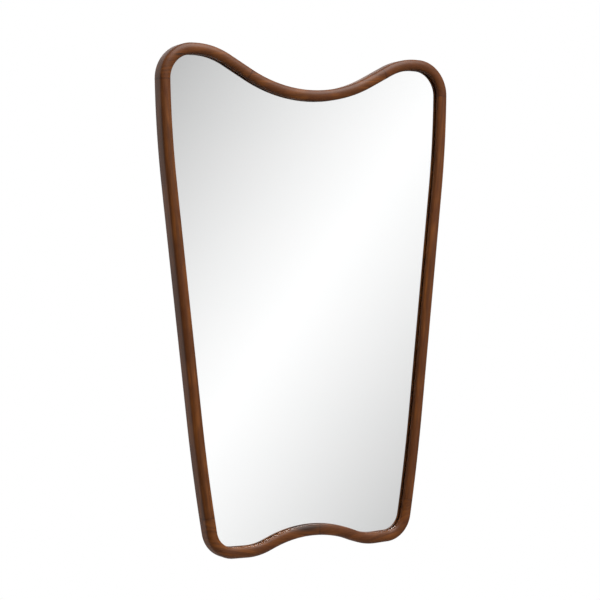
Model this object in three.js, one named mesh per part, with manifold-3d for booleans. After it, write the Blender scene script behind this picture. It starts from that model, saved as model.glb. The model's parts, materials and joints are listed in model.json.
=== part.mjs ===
// A wall mirror in a slim, solid wood frame with the outline of an open butterfly: two round humps
// on top with a dip between them, sides that run inwards, and two round lobes with an arch between.
//
// Millimetres, +Z up.  The mirror hangs in the XZ plane and faces -Y, and the wall is on the +Y side.
// "Left" and "right" are as seen from the front.  The pieces are built with the frame's front at
// Y = 0, and the whole mirror is then moved so that the origin is the middle of its outer box.

import * as THREE from 'three';
import { mergeVertices } from 'three/addons/utils/BufferGeometryUtils.js';
import Module from 'manifold-3d';

const wasm = await Module();
wasm.setup();

// ---------------------------------------------------------------------------------------------
// Driving dimensions
// ---------------------------------------------------------------------------------------------

// The outline is a ring of straight lines with every corner rounded.  WIDTH and HEIGHT are those of
// the ring before it is rounded, and each corner's place is a share of them, from the middle of the
// mirror outwards and upwards.  The left half mirrors the right one.
const WIDTH = 614;
const HEIGHT = 916;
const DIP_Z = 0.3854 * HEIGHT; // the two slopes of the top meet here
const DIP_RADIUS = 265;
const HUMP_X = 0.3257 * WIDTH;
const HUMP_Z = 0.5 * HEIGHT;
const HUMP_RADIUS = 140;
const CORNER_X = 0.5 * WIDTH;
const CORNER_Z = 0.4978 * HEIGHT;
const CORNER_RADIUS = 65;
const SHOULDER_X = 0.4951 * WIDTH; // the side bends very slightly here
const SHOULDER_Z = 0.3253 * HEIGHT;
const SHOULDER_RADIUS = 1950;
const HIP_X = 0.3844 * WIDTH; // and once more here
const HIP_Z = -0.3352 * HEIGHT;
const HIP_RADIUS = 3500;
const FOOT_X = 0.3436 * WIDTH;
const FOOT_Z = -0.4967 * HEIGHT;
const FOOT_RADIUS = 55;
const LOBE_X = 0.1857 * WIDTH;
const LOBE_Z = -0.5 * HEIGHT;
const LOBE_RADIUS = 120;
const ARCH_Z = -0.452 * HEIGHT; // the two lines of the bottom arch meet here
const ARCH_RADIUS = 220;

// The frame's section, and what lies in its rebate from the front to the back.
const FACE_WIDTH = 20.5; // of the wood as seen from the front
const LIP_WIDTH = 7; // of the wood that overhangs the glass
const LIP_DEPTH = 9.5; // of the wood in front of the glass
const GLASS_THICKNESS = 4;
const FOAM_THICKNESS = 4.5;
const BOARD_THICKNESS = 9;
const FRONT_CROWN = 16; // radius across the middle of the face
const FRONT_ROUNDING = 5; // of both front edges, which the crown runs on into
const BACK_ROUNDING = 1.5; // of the outer back edge
const GLASS_CLEARANCE = 1; // round the glass and the foam
const BOARD_CLEARANCE = 0.5; // round the board

// The glued seams of the frame.
const SEAM_GAP = 0.3;
const LEFT_TOP_SEAM = 128; // from the middle of the dip, along the outer edge
const RIGHT_TOP_SEAM = 166;
const FOOT_SEAM_RISE = 29; // from the foot's arc up to the lower seam of the stile
const ARCH_SEAM_OFFSET = 12; // from the middle of the arch, towards the right
const TENON_LENGTH = 30;
const TENON_WIDTH = 10;
const TENON_THICKNESS = 5;
const TENON_CLEARANCE = 0.3;

// Screws, all of one kind.
const SCREW_RADIUS = 1.5;
const SCREW_LENGTH = 14; // from under the head to the tip
const SCREW_TIP_LENGTH = 3;
const SCREW_HEAD_RADIUS = 3.2;
const SCREW_HEAD_HEIGHT = 1.9;
const SCREW_SHOULDER = [0.95, 0.5]; // a point of the head, as shares of its radius and height
const SCREW_CROWN = [0.6, 0.9]; // the same, further up
const SCREW_CLEARANCE = 0.3; // round the shank and under the head

// Turn buttons, which hold the board in the frame.
const BUTTON_INSET = 7; // from the frame's outer edge to the screw
const BUTTON_REACH = 18; // from the screw to the middle of the round end
const BUTTON_END_RADIUS = 5;
const BUTTON_THICKNESS = 1.2;
const BUTTON_GAP = 0.2; // to the wood and the board
const BUTTON_BELOW_STILE_TOP = 235;
const BUTTON_ABOVE_STILE_FOOT = 190;

// Hangers: a strap folded round the bar of a D-ring, with two screws.
const HANGER_INSET = 10.5; // from the frame's outer edge to the middle of the ring's bar
const HANGER_BELOW_STILE_TOP = 120;
const STRAP_WIDTH = 8;
const STRAP_THICKNESS = 2; // two layers of sheet
const STRAP_SHEET = 1; // round the ring's bar
const STRAP_FIRST_SCREW = 18; // from the ring's bar
const STRAP_SECOND_SCREW = 31;
const WIRE_RADIUS = 1.1;
const WIRE_CLEARANCE = 0.2; // round the bar in its eye
const RING_SIDE_GAP = 0.5; // between the strap and each side of the ring
const RING_REACH = 12; // from the bar to the middle of the wire at the far end
const RING_BEND_RADIUS = 2;
const RING_BUTT_GAP = 0.6; // between the two ends of the wire, in the eye
const RING_REST_GAP = 0.3; // between the hanging ring and its strap

// Rubber bumpers, which keep the hardware off the wall.
const BUMPER_INSET = 24; // from the frame's outer edge to the bumper's middle
const BUMPER_HEIGHT = 5.5;
const BUMPER_BASE_RADIUS = 6;
const BUMPER_TOP_RADIUS = 5;

// How finely round shapes are cut into flat faces.
const CHORD_ERROR = 0.08; // along a sweep, of a face's middle from the true arc
const LARGEST_TURN = Math.PI / 8; // along a sweep, from one face to the next
const SHORTEST_FACE = 0.05; // along a sweep
const ROUNDING_FACES = 4; // across each rounded edge of the wood
const WIRE_FACES = 8; // round the ring's wire
const PLATE_ARC_FACES = 10; // along each arc of a plate
const LATHE_FACES = 14; // round a turned piece

const TOOL_OVERRUN = 1; // of a drill past the face that it enters

// What follows from them.
const FRAME_DEPTH = LIP_DEPTH + GLASS_THICKNESS + FOAM_THICKNESS + BOARD_THICKNESS;
const LEDGE_WIDTH = FACE_WIDTH - LIP_WIDTH; // of the wood behind the lip
const EYE_BORE_RADIUS = WIRE_RADIUS + WIRE_CLEARANCE;
const EYE_RADIUS = EYE_BORE_RADIUS + STRAP_SHEET;

const FINISHES = {
  walnut_stained_wood: { color: '#64361f', roughness: 0.38, metalness: 0 },
  beech: { color: '#c79a6b', roughness: 0.7, metalness: 0 },
  silvered_glass: { color: '#e4e8e7', roughness: 0.03, metalness: 1 },
  foam: { color: '#e9e9e4', roughness: 0.9, metalness: 0 },
  black_fibreboard: { color: '#26231f', roughness: 0.85, metalness: 0 },
  zinc_plated_steel: { color: '#b9b6ad', roughness: 0.35, metalness: 1 },
  black_rubber: { color: '#161616', roughness: 0.8, metalness: 0 },
};

// ---------------------------------------------------------------------------------------------
// The outline
// ---------------------------------------------------------------------------------------------

// A closed line through a ring of corners, each rounded by an arc that touches both of its sides.
// It is walked clockwise as seen from the front, and starts in the middle of the first corner's arc.
// Where two arcs are too big for the side that they share, both are made smaller.
class RoundedLoop {
  constructor(corners) {
    const next = (list, i) => list[(i + 1) % list.length];
    const sides = corners.map((corner, i) => ({
      length: Math.hypot(next(corners, i).x - corner.x, next(corners, i).z - corner.z),
      heading: Math.atan2(next(corners, i).z - corner.z, next(corners, i).x - corner.x),
    }));
    const turns = sides.map((side, i) => wrapAngle(side.heading - sides.at(i - 1).heading));
    const wanted = corners.map((corner, i) => corner.radius * Math.tan(Math.abs(turns[i]) / 2));
    const room = sides.map((side, i) => Math.min(1, side.length / (wanted[i] + next(wanted, i))));
    const scales = corners.map((corner, i) => Math.min(room.at(i - 1), room[i]));

    this.spans = [];
    this.arcs = new Map();
    this.length = 0;
    corners.forEach((corner, i) => {
      const headingIn = sides.at(i - 1).heading;
      const tangent = wanted[i] * scales[i];
      const radius = corner.radius * scales[i];
      const arc = {
        x: corner.x - tangent * Math.cos(headingIn),
        z: corner.z - tangent * Math.sin(headingIn),
        heading: headingIn,
        bend: Math.sign(turns[i]) / radius,
        length: radius * Math.abs(turns[i]),
      };
      const start = this.length;
      this.add(arc);
      this.arcs.set(corner, { from: start, to: this.length });
      const end = placeOn(arc, arc.length);
      const straight = sides[i].length - tangent - next(wanted, i) * next(scales, i);
      this.add({ x: end.x, z: end.z, heading: end.heading, bend: 0, length: straight });
    });
    this.origin = this.arcs.get(corners[0]).to / 2;
  }

  add(span) {
    span.from = this.length;
    this.spans.push(span);
    this.length += span.length;
  }

  // The two ends and the middle of a corner's arc, as distances along the loop.
  arc(corner) {
    const { from, to } = this.arcs.get(corner);
    return { from: from - this.origin, middle: (from + to) / 2 - this.origin, to: to - this.origin };
  }

  // The place at a distance along the loop, with the direction of travel and the way outwards.
  at(distance) {
    const along = (distance + this.origin + this.length) % this.length;
    const span = this.spans.findLast((candidate) => candidate.from <= along);
    const { x, z, heading } = placeOn(span, along - span.from);
    return {
      point: new THREE.Vector3(x, 0, z),
      ahead: new THREE.Vector3(Math.cos(heading), 0, Math.sin(heading)),
      outward: new THREE.Vector3(-Math.sin(heading), 0, Math.cos(heading)),
    };
  }

  // The places between two distances that keep the flat faces within CHORD_ERROR of every arc.
  places(from, to) {
    const stops = [from];
    for (const lap of [-this.length, 0, this.length]) {
      for (const span of this.spans) {
        const turn = span.length * Math.abs(span.bend);
        const finest = 2 * Math.acos(1 - CHORD_ERROR * Math.abs(span.bend));
        const count = Math.max(1, Math.ceil(turn / Math.min(LARGEST_TURN, finest)));
        for (let step = 0; step < count; step += 1) {
          stops.push(span.from - this.origin + lap + (span.length * step) / count);
        }
      }
    }
    const first = from + SHORTEST_FACE;
    const last = to - SHORTEST_FACE;
    const inside = stops.slice(1).filter((stop) => stop > first && stop < last);
    return [from, ...inside, to].map((stop) => this.at(stop));
  }

  // The closed shape at a distance inside the loop, in the plane of the mirror.
  shape(inset) {
    const places = this.places(0, this.length).slice(1);
    return new THREE.Shape(places.map((place) => {
      const corner = inwards(place, inset);
      return new THREE.Vector2(corner.x, corner.z);
    }));
  }
}

function wrapAngle(angle) {
  return angle - 2 * Math.PI * Math.round(angle / (2 * Math.PI));
}

// The place at a distance along one straight or round span.
function placeOn(span, distance) {
  const heading = span.heading + span.bend * distance;
  if (span.bend === 0) {
    return { x: span.x + distance * Math.cos(heading), z: span.z + distance * Math.sin(heading), heading };
  }
  return {
    x: span.x + (Math.sin(heading) - Math.sin(span.heading)) / span.bend,
    z: span.z - (Math.cos(heading) - Math.cos(span.heading)) / span.bend,
    heading,
  };
}

function inwards(place, inset) {
  return place.point.clone().addScaledVector(place.outward, -inset);
}

// A stretch of a loop, as a path along which ExtrudeGeometry carries a section.  In the section,
// X is the depth behind the front and Y the way outwards.
class Stretch extends THREE.Curve {
  constructor(loop, from, to) {
    super();
    this.places = loop.places(from, to);
  }

  getSpacedPoints() {
    return this.places.map((place) => place.point);
  }

  computeFrenetFrames() {
    return {
      tangents: this.places.map((place) => place.ahead),
      normals: this.places.map(() => new THREE.Vector3(0, 1, 0)),
      binormals: this.places.map((place) => place.outward),
    };
  }
}

// ExtrudeGeometry cuts an arc into twice as many faces as it is given segments.
function sweep(section, arcFaces, loop, from, to) {
  const path = new Stretch(loop, from, to);
  return new THREE.ExtrudeGeometry(section, {
    extrudePath: path,
    steps: path.places.length - 1,
    curveSegments: arcFaces / 2,
  });
}

// ---------------------------------------------------------------------------------------------
// Solids
// ---------------------------------------------------------------------------------------------

function toSolid(geometry) {
  const bare = geometry.clone();
  bare.deleteAttribute('normal');
  bare.deleteAttribute('uv');
  const merged = mergeVertices(bare);
  return new wasm.Manifold(new wasm.Mesh({
    numProp: 3,
    vertProperties: new Float32Array(merged.attributes.position.array),
    triVerts: new Uint32Array(merged.index.array),
  }));
}

function toGeometry(solid) {
  const mesh = solid.getMesh();
  const geometry = new THREE.BufferGeometry();
  geometry.setAttribute('position', new THREE.BufferAttribute(mesh.vertProperties, mesh.numProp));
  geometry.setIndex(new THREE.BufferAttribute(mesh.triVerts, 1));
  return geometry;
}

function cut(geometry, tools) {
  return toGeometry(tools.reduce((solid, tool) => solid.subtract(toSolid(tool)), toSolid(geometry)));
}

// A plate with round ends of one radius, the first about the origin and the other further along X.
function roundEnded(reach, radius) {
  const shape = new THREE.Shape();
  shape.absarc(0, 0, radius, Math.PI / 2, (3 * Math.PI) / 2);
  shape.absarc(reach, 0, radius, -Math.PI / 2, Math.PI / 2);
  return shape;
}

function circle(radius, x = 0) {
  return new THREE.Path().absarc(x, 0, radius, 0, 2 * Math.PI);
}

function plate(shape, thickness) {
  return new THREE.ExtrudeGeometry(shape, {
    depth: thickness,
    bevelEnabled: false,
    curveSegments: PLATE_ARC_FACES / 2,
  });
}

// A cylinder along local Z from one height to another.
function rod(radius, from, to) {
  const geometry = new THREE.CylinderGeometry(radius, radius, to - from, LATHE_FACES);
  return geometry.rotateX(Math.PI / 2).translate(0, 0, (from + to) / 2);
}

// A round piece from its profile of [radius, height] points, about local Z.
function turned(profile) {
  const points = profile.map(([radius, height]) => new THREE.Vector2(radius, height));
  return new THREE.LatheGeometry(points, LATHE_FACES).rotateX(Math.PI / 2);
}

// ---------------------------------------------------------------------------------------------
// The assembly
// ---------------------------------------------------------------------------------------------

const mirror = new THREE.Group();

function add(name, geometry, finish, placement = new THREE.Matrix4()) {
  const mesh = new THREE.Mesh(geometry, new THREE.MeshStandardMaterial(FINISHES[finish]));
  mesh.name = name;
  mesh.applyMatrix4(placement);
  mirror.add(mesh);
}

const dip = { x: 0, z: DIP_Z, radius: DIP_RADIUS };
const hump = { x: HUMP_X, z: HUMP_Z, radius: HUMP_RADIUS };
const corner = { x: CORNER_X, z: CORNER_Z, radius: CORNER_RADIUS };
const shoulder = { x: SHOULDER_X, z: SHOULDER_Z, radius: SHOULDER_RADIUS };
const hip = { x: HIP_X, z: HIP_Z, radius: HIP_RADIUS };
const foot = { x: FOOT_X, z: FOOT_Z, radius: FOOT_RADIUS };
const lobe = { x: LOBE_X, z: LOBE_Z, radius: LOBE_RADIUS };
const arch = { x: 0, z: ARCH_Z, radius: ARCH_RADIUS };
const rightCorners = [hump, corner, shoulder, hip, foot, lobe];
const leftCorners = rightCorners.map(({ x, z, radius }) => ({ x: -x, z, radius })).reverse();
const outline = new RoundedLoop([dip, ...rightCorners, arch, ...leftCorners]);

// Distances along the outline, on the right side and at the same place on the left side.
const stileTop = outline.arc(corner).to;
const stileFoot = outline.arc(foot).from - FOOT_SEAM_RISE;
const archSeam = outline.arc(arch).middle - ARCH_SEAM_OFFSET;
const onSide = {
  right: (distance) => distance,
  left: (distance) => outline.length - distance,
};

// Where a piece sits on the back of the frame: local Z points at the wall and local X inwards.
function onBack(distance, inset) {
  const place = outline.at(distance);
  const wallward = new THREE.Vector3(0, 1, 0);
  const inward = place.outward.clone().negate();
  const seat = inwards(place, inset).setY(FRAME_DEPTH);
  return new THREE.Matrix4()
    .makeBasis(inward, wallward.clone().cross(inward), wallward)
    .setPosition(seat);
}

// The same seat for a hanger, whose strap runs straight down from the ring's bar: local Y is up.
function onBackUpright(distance, inset) {
  const seat = inwards(outline.at(distance), inset).setY(FRAME_DEPTH);
  return new THREE.Matrix4()
    .makeBasis(new THREE.Vector3(-1, 0, 0), new THREE.Vector3(0, 0, 1), new THREE.Vector3(0, 1, 0))
    .setPosition(seat);
}

const screwHoles = [];

// A pan-head screw whose head bears on something of a given thickness, and its hole in the wood.
function addScrew(name, seat, thickness) {
  const under = thickness + SCREW_CLEARANCE;
  const tip = under - SCREW_LENGTH;
  const screw = turned([
    [0, tip],
    [SCREW_RADIUS, tip + SCREW_TIP_LENGTH],
    [SCREW_RADIUS, under],
    [SCREW_HEAD_RADIUS, under],
    ...[SCREW_SHOULDER, SCREW_CROWN, [0, 1]].map(([radius, height]) => [
      SCREW_HEAD_RADIUS * radius,
      under + SCREW_HEAD_HEIGHT * height,
    ]),
  ]);
  add(name, screw, 'zinc_plated_steel', seat);
  const hole = rod(SCREW_RADIUS + SCREW_CLEARANCE, tip - SCREW_CLEARANCE, TOOL_OVERRUN);
  screwHoles.push(hole.applyMatrix4(seat));
}

function addButton(name, distance) {
  const seat = onBack(distance, BUTTON_INSET);
  const shape = roundEnded(BUTTON_REACH, BUTTON_END_RADIUS);
  shape.holes.push(circle(SCREW_RADIUS + SCREW_CLEARANCE));
  add(name, plate(shape, BUTTON_THICKNESS).translate(0, 0, BUTTON_GAP), 'zinc_plated_steel', seat);
  addScrew(`${name}_screw`, seat, BUTTON_GAP + BUTTON_THICKNESS);
}

// The strap lies on the wood from the ring's bar down, and its eye goes round the bar.
function strapGeometry() {
  const length = STRAP_SECOND_SCREW + STRAP_WIDTH / 2;
  const shape = new THREE.Shape();
  shape.moveTo(STRAP_WIDTH / 2, 0);
  shape.lineTo(-STRAP_WIDTH / 2, 0);
  shape.absarc(0, STRAP_WIDTH / 2 - length, STRAP_WIDTH / 2, Math.PI, 2 * Math.PI);
  const along = (radius, from, to) =>
    rod(radius, from, to).rotateY(Math.PI / 2).translate(0, 0, EYE_RADIUS);
  const eye = along(EYE_RADIUS, -STRAP_WIDTH / 2, STRAP_WIDTH / 2);
  const bore = along(EYE_BORE_RADIUS, -STRAP_WIDTH, STRAP_WIDTH);
  const hole = rod(SCREW_RADIUS + SCREW_CLEARANCE, -TOOL_OVERRUN, STRAP_THICKNESS + TOOL_OVERRUN);
  const holes = [STRAP_FIRST_SCREW, STRAP_SECOND_SCREW].map((drop) => hole.clone().translate(0, -drop, 0));
  const body = toGeometry(toSolid(plate(shape, STRAP_THICKNESS)).add(toSolid(eye)));
  return cut(body, [bore, ...holes]);
}

// The ring hangs from its bar, tilted just enough to lie on its strap.
function ringGeometry() {
  const half = STRAP_WIDTH / 2 + RING_SIDE_GAP + WIRE_RADIUS;
  const loop = new RoundedLoop([
    { x: half, z: 0, radius: RING_BEND_RADIUS },
    { x: half, z: -RING_REACH, radius: half },
    { x: -half, z: -RING_REACH, radius: half },
    { x: -half, z: 0, radius: RING_BEND_RADIUS },
  ]);
  const barMiddle = -loop.origin - (half - RING_BEND_RADIUS);
  const wire = new THREE.Shape().absarc(0, 0, WIRE_RADIUS, 0, 2 * Math.PI);
  const ends = RING_BUTT_GAP / 2;
  const ring = sweep(wire, WIRE_FACES, loop, barMiddle + ends, barMiddle + loop.length - ends);
  const lift = STRAP_THICKNESS + WIRE_RADIUS + RING_REST_GAP - EYE_RADIUS;
  const rest = Math.PI / 2 + Math.asin(lift / RING_REACH);
  return ring.rotateX(-rest).translate(0, 0, EYE_RADIUS);
}

function addHanger(side) {
  const seat = onBackUpright(onSide[side](stileTop + HANGER_BELOW_STILE_TOP), HANGER_INSET);
  add(`${side}_hanger_strap`, strapGeometry(), 'zinc_plated_steel', seat);
  add(`${side}_hanger_ring`, ringGeometry(), 'zinc_plated_steel', seat);
  const drops = { upper: STRAP_FIRST_SCREW, lower: STRAP_SECOND_SCREW };
  for (const [name, drop] of Object.entries(drops)) {
    const below = seat.clone().multiply(new THREE.Matrix4().makeTranslation(0, -drop, 0));
    addScrew(`${side}_hanger_${name}_screw`, below, STRAP_THICKNESS);
  }
}

function addBumper(name, distance) {
  const bumper = turned([
    [0, 0],
    [BUMPER_BASE_RADIUS, 0],
    [BUMPER_TOP_RADIUS, BUMPER_HEIGHT],
    [0, BUMPER_HEIGHT],
  ]);
  add(name, bumper, 'black_rubber', onBack(distance, BUMPER_INSET));
}

for (const side of ['left', 'right']) {
  const at = onSide[side];
  addButton(`${side}_hump_button`, at(outline.arc(hump).middle));
  addButton(`${side}_upper_button`, at(stileTop + BUTTON_BELOW_STILE_TOP));
  addButton(`${side}_lower_button`, at(stileFoot - BUTTON_ABOVE_STILE_FOOT));
  addButton(`${side}_lobe_button`, at(outline.arc(lobe).middle));
  addHanger(side);
  addBumper(`${side}_upper_bumper`, at(outline.arc(corner).middle));
  addBumper(`${side}_lower_bumper`, at(outline.arc(foot).middle));
}

// Loose tenons: flat, with round edges, and their mortises a little larger.
const seams = {
  top_right_tenon: RIGHT_TOP_SEAM,
  upper_right_tenon: stileTop,
  lower_right_tenon: stileFoot,
  bottom_tenon: archSeam,
  lower_left_tenon: onSide.left(stileFoot),
  upper_left_tenon: onSide.left(stileTop),
  top_left_tenon: onSide.left(LEFT_TOP_SEAM),
};

function tenonGeometry(clearance) {
  const radius = TENON_THICKNESS / 2;
  const reach = TENON_WIDTH - TENON_THICKNESS;
  const length = TENON_LENGTH + 2 * clearance;
  return plate(roundEnded(reach, radius + clearance), length).translate(-reach / 2, 0, -length / 2);
}

const mortises = Object.entries(seams).map(([name, distance]) => {
  const place = outline.at(distance);
  const middle = inwards(place, LEDGE_WIDTH / 2).setY((LIP_DEPTH + FRAME_DEPTH) / 2);
  const seat = new THREE.Matrix4()
    .makeBasis(new THREE.Vector3(0, 1, 0), place.outward, place.ahead)
    .setPosition(middle);
  add(name, tenonGeometry(0), 'beech', seat);
  return tenonGeometry(TENON_CLEARANCE).applyMatrix4(seat);
});

// The wood: one section all the way round, crowned in front and rebated behind.
function frameSection() {
  const middle = FACE_WIDTH / 2;
  const tilt = Math.asin((middle - FRONT_ROUNDING) / (FRONT_CROWN - FRONT_ROUNDING));
  const depth = FRONT_CROWN - (FRONT_CROWN - FRONT_ROUNDING) * Math.cos(tilt);
  const section = new THREE.Shape();
  section.absarc(FRAME_DEPTH - BACK_ROUNDING, -BACK_ROUNDING, BACK_ROUNDING, Math.PI / 2, 0, true);
  section.lineTo(FRAME_DEPTH, -LEDGE_WIDTH);
  section.lineTo(LIP_DEPTH, -LEDGE_WIDTH);
  section.lineTo(LIP_DEPTH, -FACE_WIDTH);
  const roundEdge = (y, from, to) => section.absarc(depth, y, FRONT_ROUNDING, from, to, true);
  roundEdge(FRONT_ROUNDING - FACE_WIDTH, -Math.PI / 2, tilt - Math.PI);
  section.absarc(FRONT_CROWN, -middle, FRONT_CROWN, tilt - Math.PI, -tilt - Math.PI, true);
  roundEdge(-FRONT_ROUNDING, Math.PI - tilt, Math.PI / 2);
  return section;
}

function addWood(name, from, to) {
  const ends = SEAM_GAP / 2;
  const wood = sweep(frameSection(), ROUNDING_FACES, outline, from + ends, to - ends);
  add(name, cut(wood, [...mortises, ...screwHoles]), 'walnut_stained_wood');
}

addWood('top_rail', -LEFT_TOP_SEAM, RIGHT_TOP_SEAM);
addWood('top_right_corner', RIGHT_TOP_SEAM, stileTop);
addWood('right_stile', stileTop, stileFoot);
addWood('bottom_right_corner', stileFoot, archSeam);
addWood('bottom_left_corner', archSeam, onSide.left(stileFoot));
addWood('left_stile', onSide.left(stileFoot), onSide.left(stileTop));
addWood('top_left_corner', onSide.left(stileTop), onSide.left(LEFT_TOP_SEAM));

// What lies in the rebate.
function addSheet(name, finish, clearance, front, thickness) {
  const sheet = plate(outline.shape(LEDGE_WIDTH + clearance), thickness);
  add(name, sheet.rotateX(Math.PI / 2).translate(0, front + thickness, 0), finish);
}

const foamFront = LIP_DEPTH + GLASS_THICKNESS;
const boardFront = foamFront + FOAM_THICKNESS;
addSheet('mirror_glass', 'silvered_glass', GLASS_CLEARANCE, LIP_DEPTH, GLASS_THICKNESS);
addSheet('foam_sheet', 'foam', GLASS_CLEARANCE, foamFront, FOAM_THICKNESS);
addSheet('backing_board', 'black_fibreboard', BOARD_CLEARANCE, boardFront, BOARD_THICKNESS);

const box = new THREE.Box3().setFromObject(mirror);
mirror.position.copy(box.getCenter(new THREE.Vector3()).negate());

export default mirror;
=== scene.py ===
# %% [markdown]
# # A butterfly-shaped mirror in a slim wood frame
#
# This lesson dresses a wall mirror. A CAD model of it exists already, with every board, screw and
# ring as its own node. Blender loads that model as a fixed frame and gives each piece the shape and
# the finish that the eye expects. The frame's wood, the screws, the turn buttons, the hangers and
# the bumpers are modelled anew, because the CAD model's curves are cut into flat faces. The glass
# is split into a clear pane and its silver. The foam, the board and the hidden tenons keep their
# CAD meshes and get a material.
#
# Everything is in metres. The mirror faces -Y, the wall is on the +Y side and +Z is up.

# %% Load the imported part
import json
import math
from collections import namedtuple

import bpy
from mathutils import Matrix, Vector


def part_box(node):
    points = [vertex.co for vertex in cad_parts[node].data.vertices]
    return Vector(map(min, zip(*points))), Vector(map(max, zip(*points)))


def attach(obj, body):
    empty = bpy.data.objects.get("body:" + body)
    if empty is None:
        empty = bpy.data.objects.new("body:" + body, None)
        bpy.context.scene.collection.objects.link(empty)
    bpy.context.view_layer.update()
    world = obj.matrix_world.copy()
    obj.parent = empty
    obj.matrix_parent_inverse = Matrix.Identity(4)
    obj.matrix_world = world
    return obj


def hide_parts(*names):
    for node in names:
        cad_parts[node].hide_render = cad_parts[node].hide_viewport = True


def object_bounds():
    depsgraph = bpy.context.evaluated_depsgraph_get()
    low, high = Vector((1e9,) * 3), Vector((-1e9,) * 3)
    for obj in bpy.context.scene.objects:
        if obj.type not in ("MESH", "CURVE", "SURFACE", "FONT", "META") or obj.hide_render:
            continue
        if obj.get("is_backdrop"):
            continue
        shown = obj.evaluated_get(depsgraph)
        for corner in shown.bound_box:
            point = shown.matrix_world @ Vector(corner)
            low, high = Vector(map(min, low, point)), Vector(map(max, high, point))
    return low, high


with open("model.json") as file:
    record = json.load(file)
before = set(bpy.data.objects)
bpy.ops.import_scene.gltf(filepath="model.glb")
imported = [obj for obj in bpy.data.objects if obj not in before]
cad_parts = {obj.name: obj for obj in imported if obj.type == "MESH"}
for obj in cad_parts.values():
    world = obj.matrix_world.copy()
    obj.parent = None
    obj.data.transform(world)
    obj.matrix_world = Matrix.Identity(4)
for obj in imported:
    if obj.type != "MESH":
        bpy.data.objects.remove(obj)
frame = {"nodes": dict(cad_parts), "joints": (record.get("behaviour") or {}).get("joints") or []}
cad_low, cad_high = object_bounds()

MM = 0.001
print("CAD nodes:", len(frame["nodes"]))
print("CAD box in mm:", [round(side / MM, 2) for side in cad_high - cad_low])

# %% [markdown]
# ## The camera
#
# The camera comes first, because it decides what has to look right. The place, the focal length and
# the small roll come from matching the frame's outline to the photograph, which was taken from the
# left at the height of the mirror's middle, from almost three metres away. A camera could be aimed
# with a Track To constraint, but a matrix built from three turns also holds the roll.

# %% Place the camera
VIEW_AZIMUTH = math.radians(-31)
VIEW_ELEVATION = math.radians(1.26)
VIEW_ROLL = math.radians(-0.23)
VIEW_DISTANCE = 2.849
VIEW_TARGET = Vector((-0.0282, cad_low.y, 0.0038))
FOCAL_LENGTH_PIXELS = 1564.8
PHOTO_WIDTH_PIXELS = 600

bpy.ops.object.camera_add()
camera = bpy.context.object
camera.data.lens = FOCAL_LENGTH_PIXELS / PHOTO_WIDTH_PIXELS * camera.data.sensor_width
view_turn = (
    Matrix.Rotation(VIEW_AZIMUTH, 4, "Z")
    @ Matrix.Rotation(math.pi / 2 - VIEW_ELEVATION, 4, "X")
    @ Matrix.Rotation(VIEW_ROLL, 4, "Z")
)
view_ahead = view_turn @ Vector((0, 0, -1))
camera.matrix_world = Matrix.Translation(VIEW_TARGET - VIEW_DISTANCE * view_ahead) @ view_turn
bpy.context.scene.camera = camera
camera_place = [round(value, 3) for value in camera.location]
print("Camera at", camera_place, "with a lens of", round(camera.data.lens, 1), "mm")

# %% [markdown]
# ## Helpers for edit mode
#
# An operator acts on whatever is selected, so each step first says what it works on. pick makes
# one object the only selected one. choose opens it in edit mode with only some of its vertices,
# edges or faces selected, by a test on the place of each one. The other helpers close an edit,
# apply a modifier, cut one mesh with another and make a copy that has a mesh of its own.

# %% Select objects and parts of objects
NEAR = 0.01 * MM  # what is closer than this is in the same place
SAME_POINT = 0.001 * MM  # vertices that are closer than this are merged


def pick(thing):
    if bpy.context.mode != "OBJECT":
        bpy.ops.object.mode_set(mode="OBJECT")
    bpy.ops.object.select_all(action="DESELECT")
    thing.select_set(True)
    bpy.context.view_layer.objects.active = thing


def choose(thing, kind, wanted):
    pick(thing)
    bpy.ops.object.mode_set(mode="EDIT")
    bpy.ops.mesh.select_mode(type=kind)
    bpy.ops.mesh.select_all(action="DESELECT")
    bpy.ops.object.mode_set(mode="OBJECT")
    mesh = thing.data
    if kind == "VERT":
        for vertex in mesh.vertices:
            vertex.select = wanted(vertex.co)
    elif kind == "EDGE":
        for edge in mesh.edges:
            one, two = (mesh.vertices[i].co for i in edge.vertices)
            edge.select = wanted((one + two) / 2)
    else:
        for face in mesh.polygons:
            face.select = wanted(face.center)
    bpy.ops.object.mode_set(mode="EDIT")


def merge_doubles():
    bpy.ops.mesh.select_all(action="SELECT")
    bpy.ops.mesh.remove_doubles(threshold=SAME_POINT)


def finish_edit(thing, smooth_angle):
    """Merge doubles, turn the faces outwards, leave edit mode and smooth the round parts."""
    pick(thing)
    bpy.ops.object.mode_set(mode="EDIT")
    merge_doubles()
    bpy.ops.mesh.normals_make_consistent(inside=False)
    bpy.ops.object.mode_set(mode="OBJECT")
    bpy.ops.object.shade_smooth_by_angle(angle=smooth_angle)


def apply_modifier(thing, kind, **settings):
    """Add a modifier with its settings and apply it at once."""
    pick(thing)
    modifier = thing.modifiers.new(kind.lower(), kind)
    for name, value in settings.items():
        setattr(modifier, name, value)
    bpy.ops.object.modifier_apply(modifier=modifier.name)


def cut_with(thing, cutter, operation="DIFFERENCE"):
    """Cut one mesh with another by a boolean, and throw the cutter away."""
    apply_modifier(thing, "BOOLEAN", operation=operation, object=cutter, solver="EXACT")
    bpy.data.objects.remove(cutter)


def copy_of(thing, name):
    """A copy of an object, with a mesh of its own."""
    piece = thing.copy()
    piece.data = thing.data.copy()
    piece.name = name
    bpy.context.collection.objects.link(piece)
    return piece


# %% [markdown]
# ## Colours and nodes
#
# A colour picker shows sRGB values, but a render computes with linear light. One function turns
# the hex values into linear ones. Another adds a node to a tree, sets it up and links it: what is
# given as a socket is linked, and anything else is set as the socket's own value. The short
# functions after it add what the finishes share: a blend of two colours, a change of range, a step
# of arithmetic, noise with spots of a given size, and small bumps. Nearly every finish starts with
# the place on the object and ends with a Principled shader.

# %% Turn colours and build node trees


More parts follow.
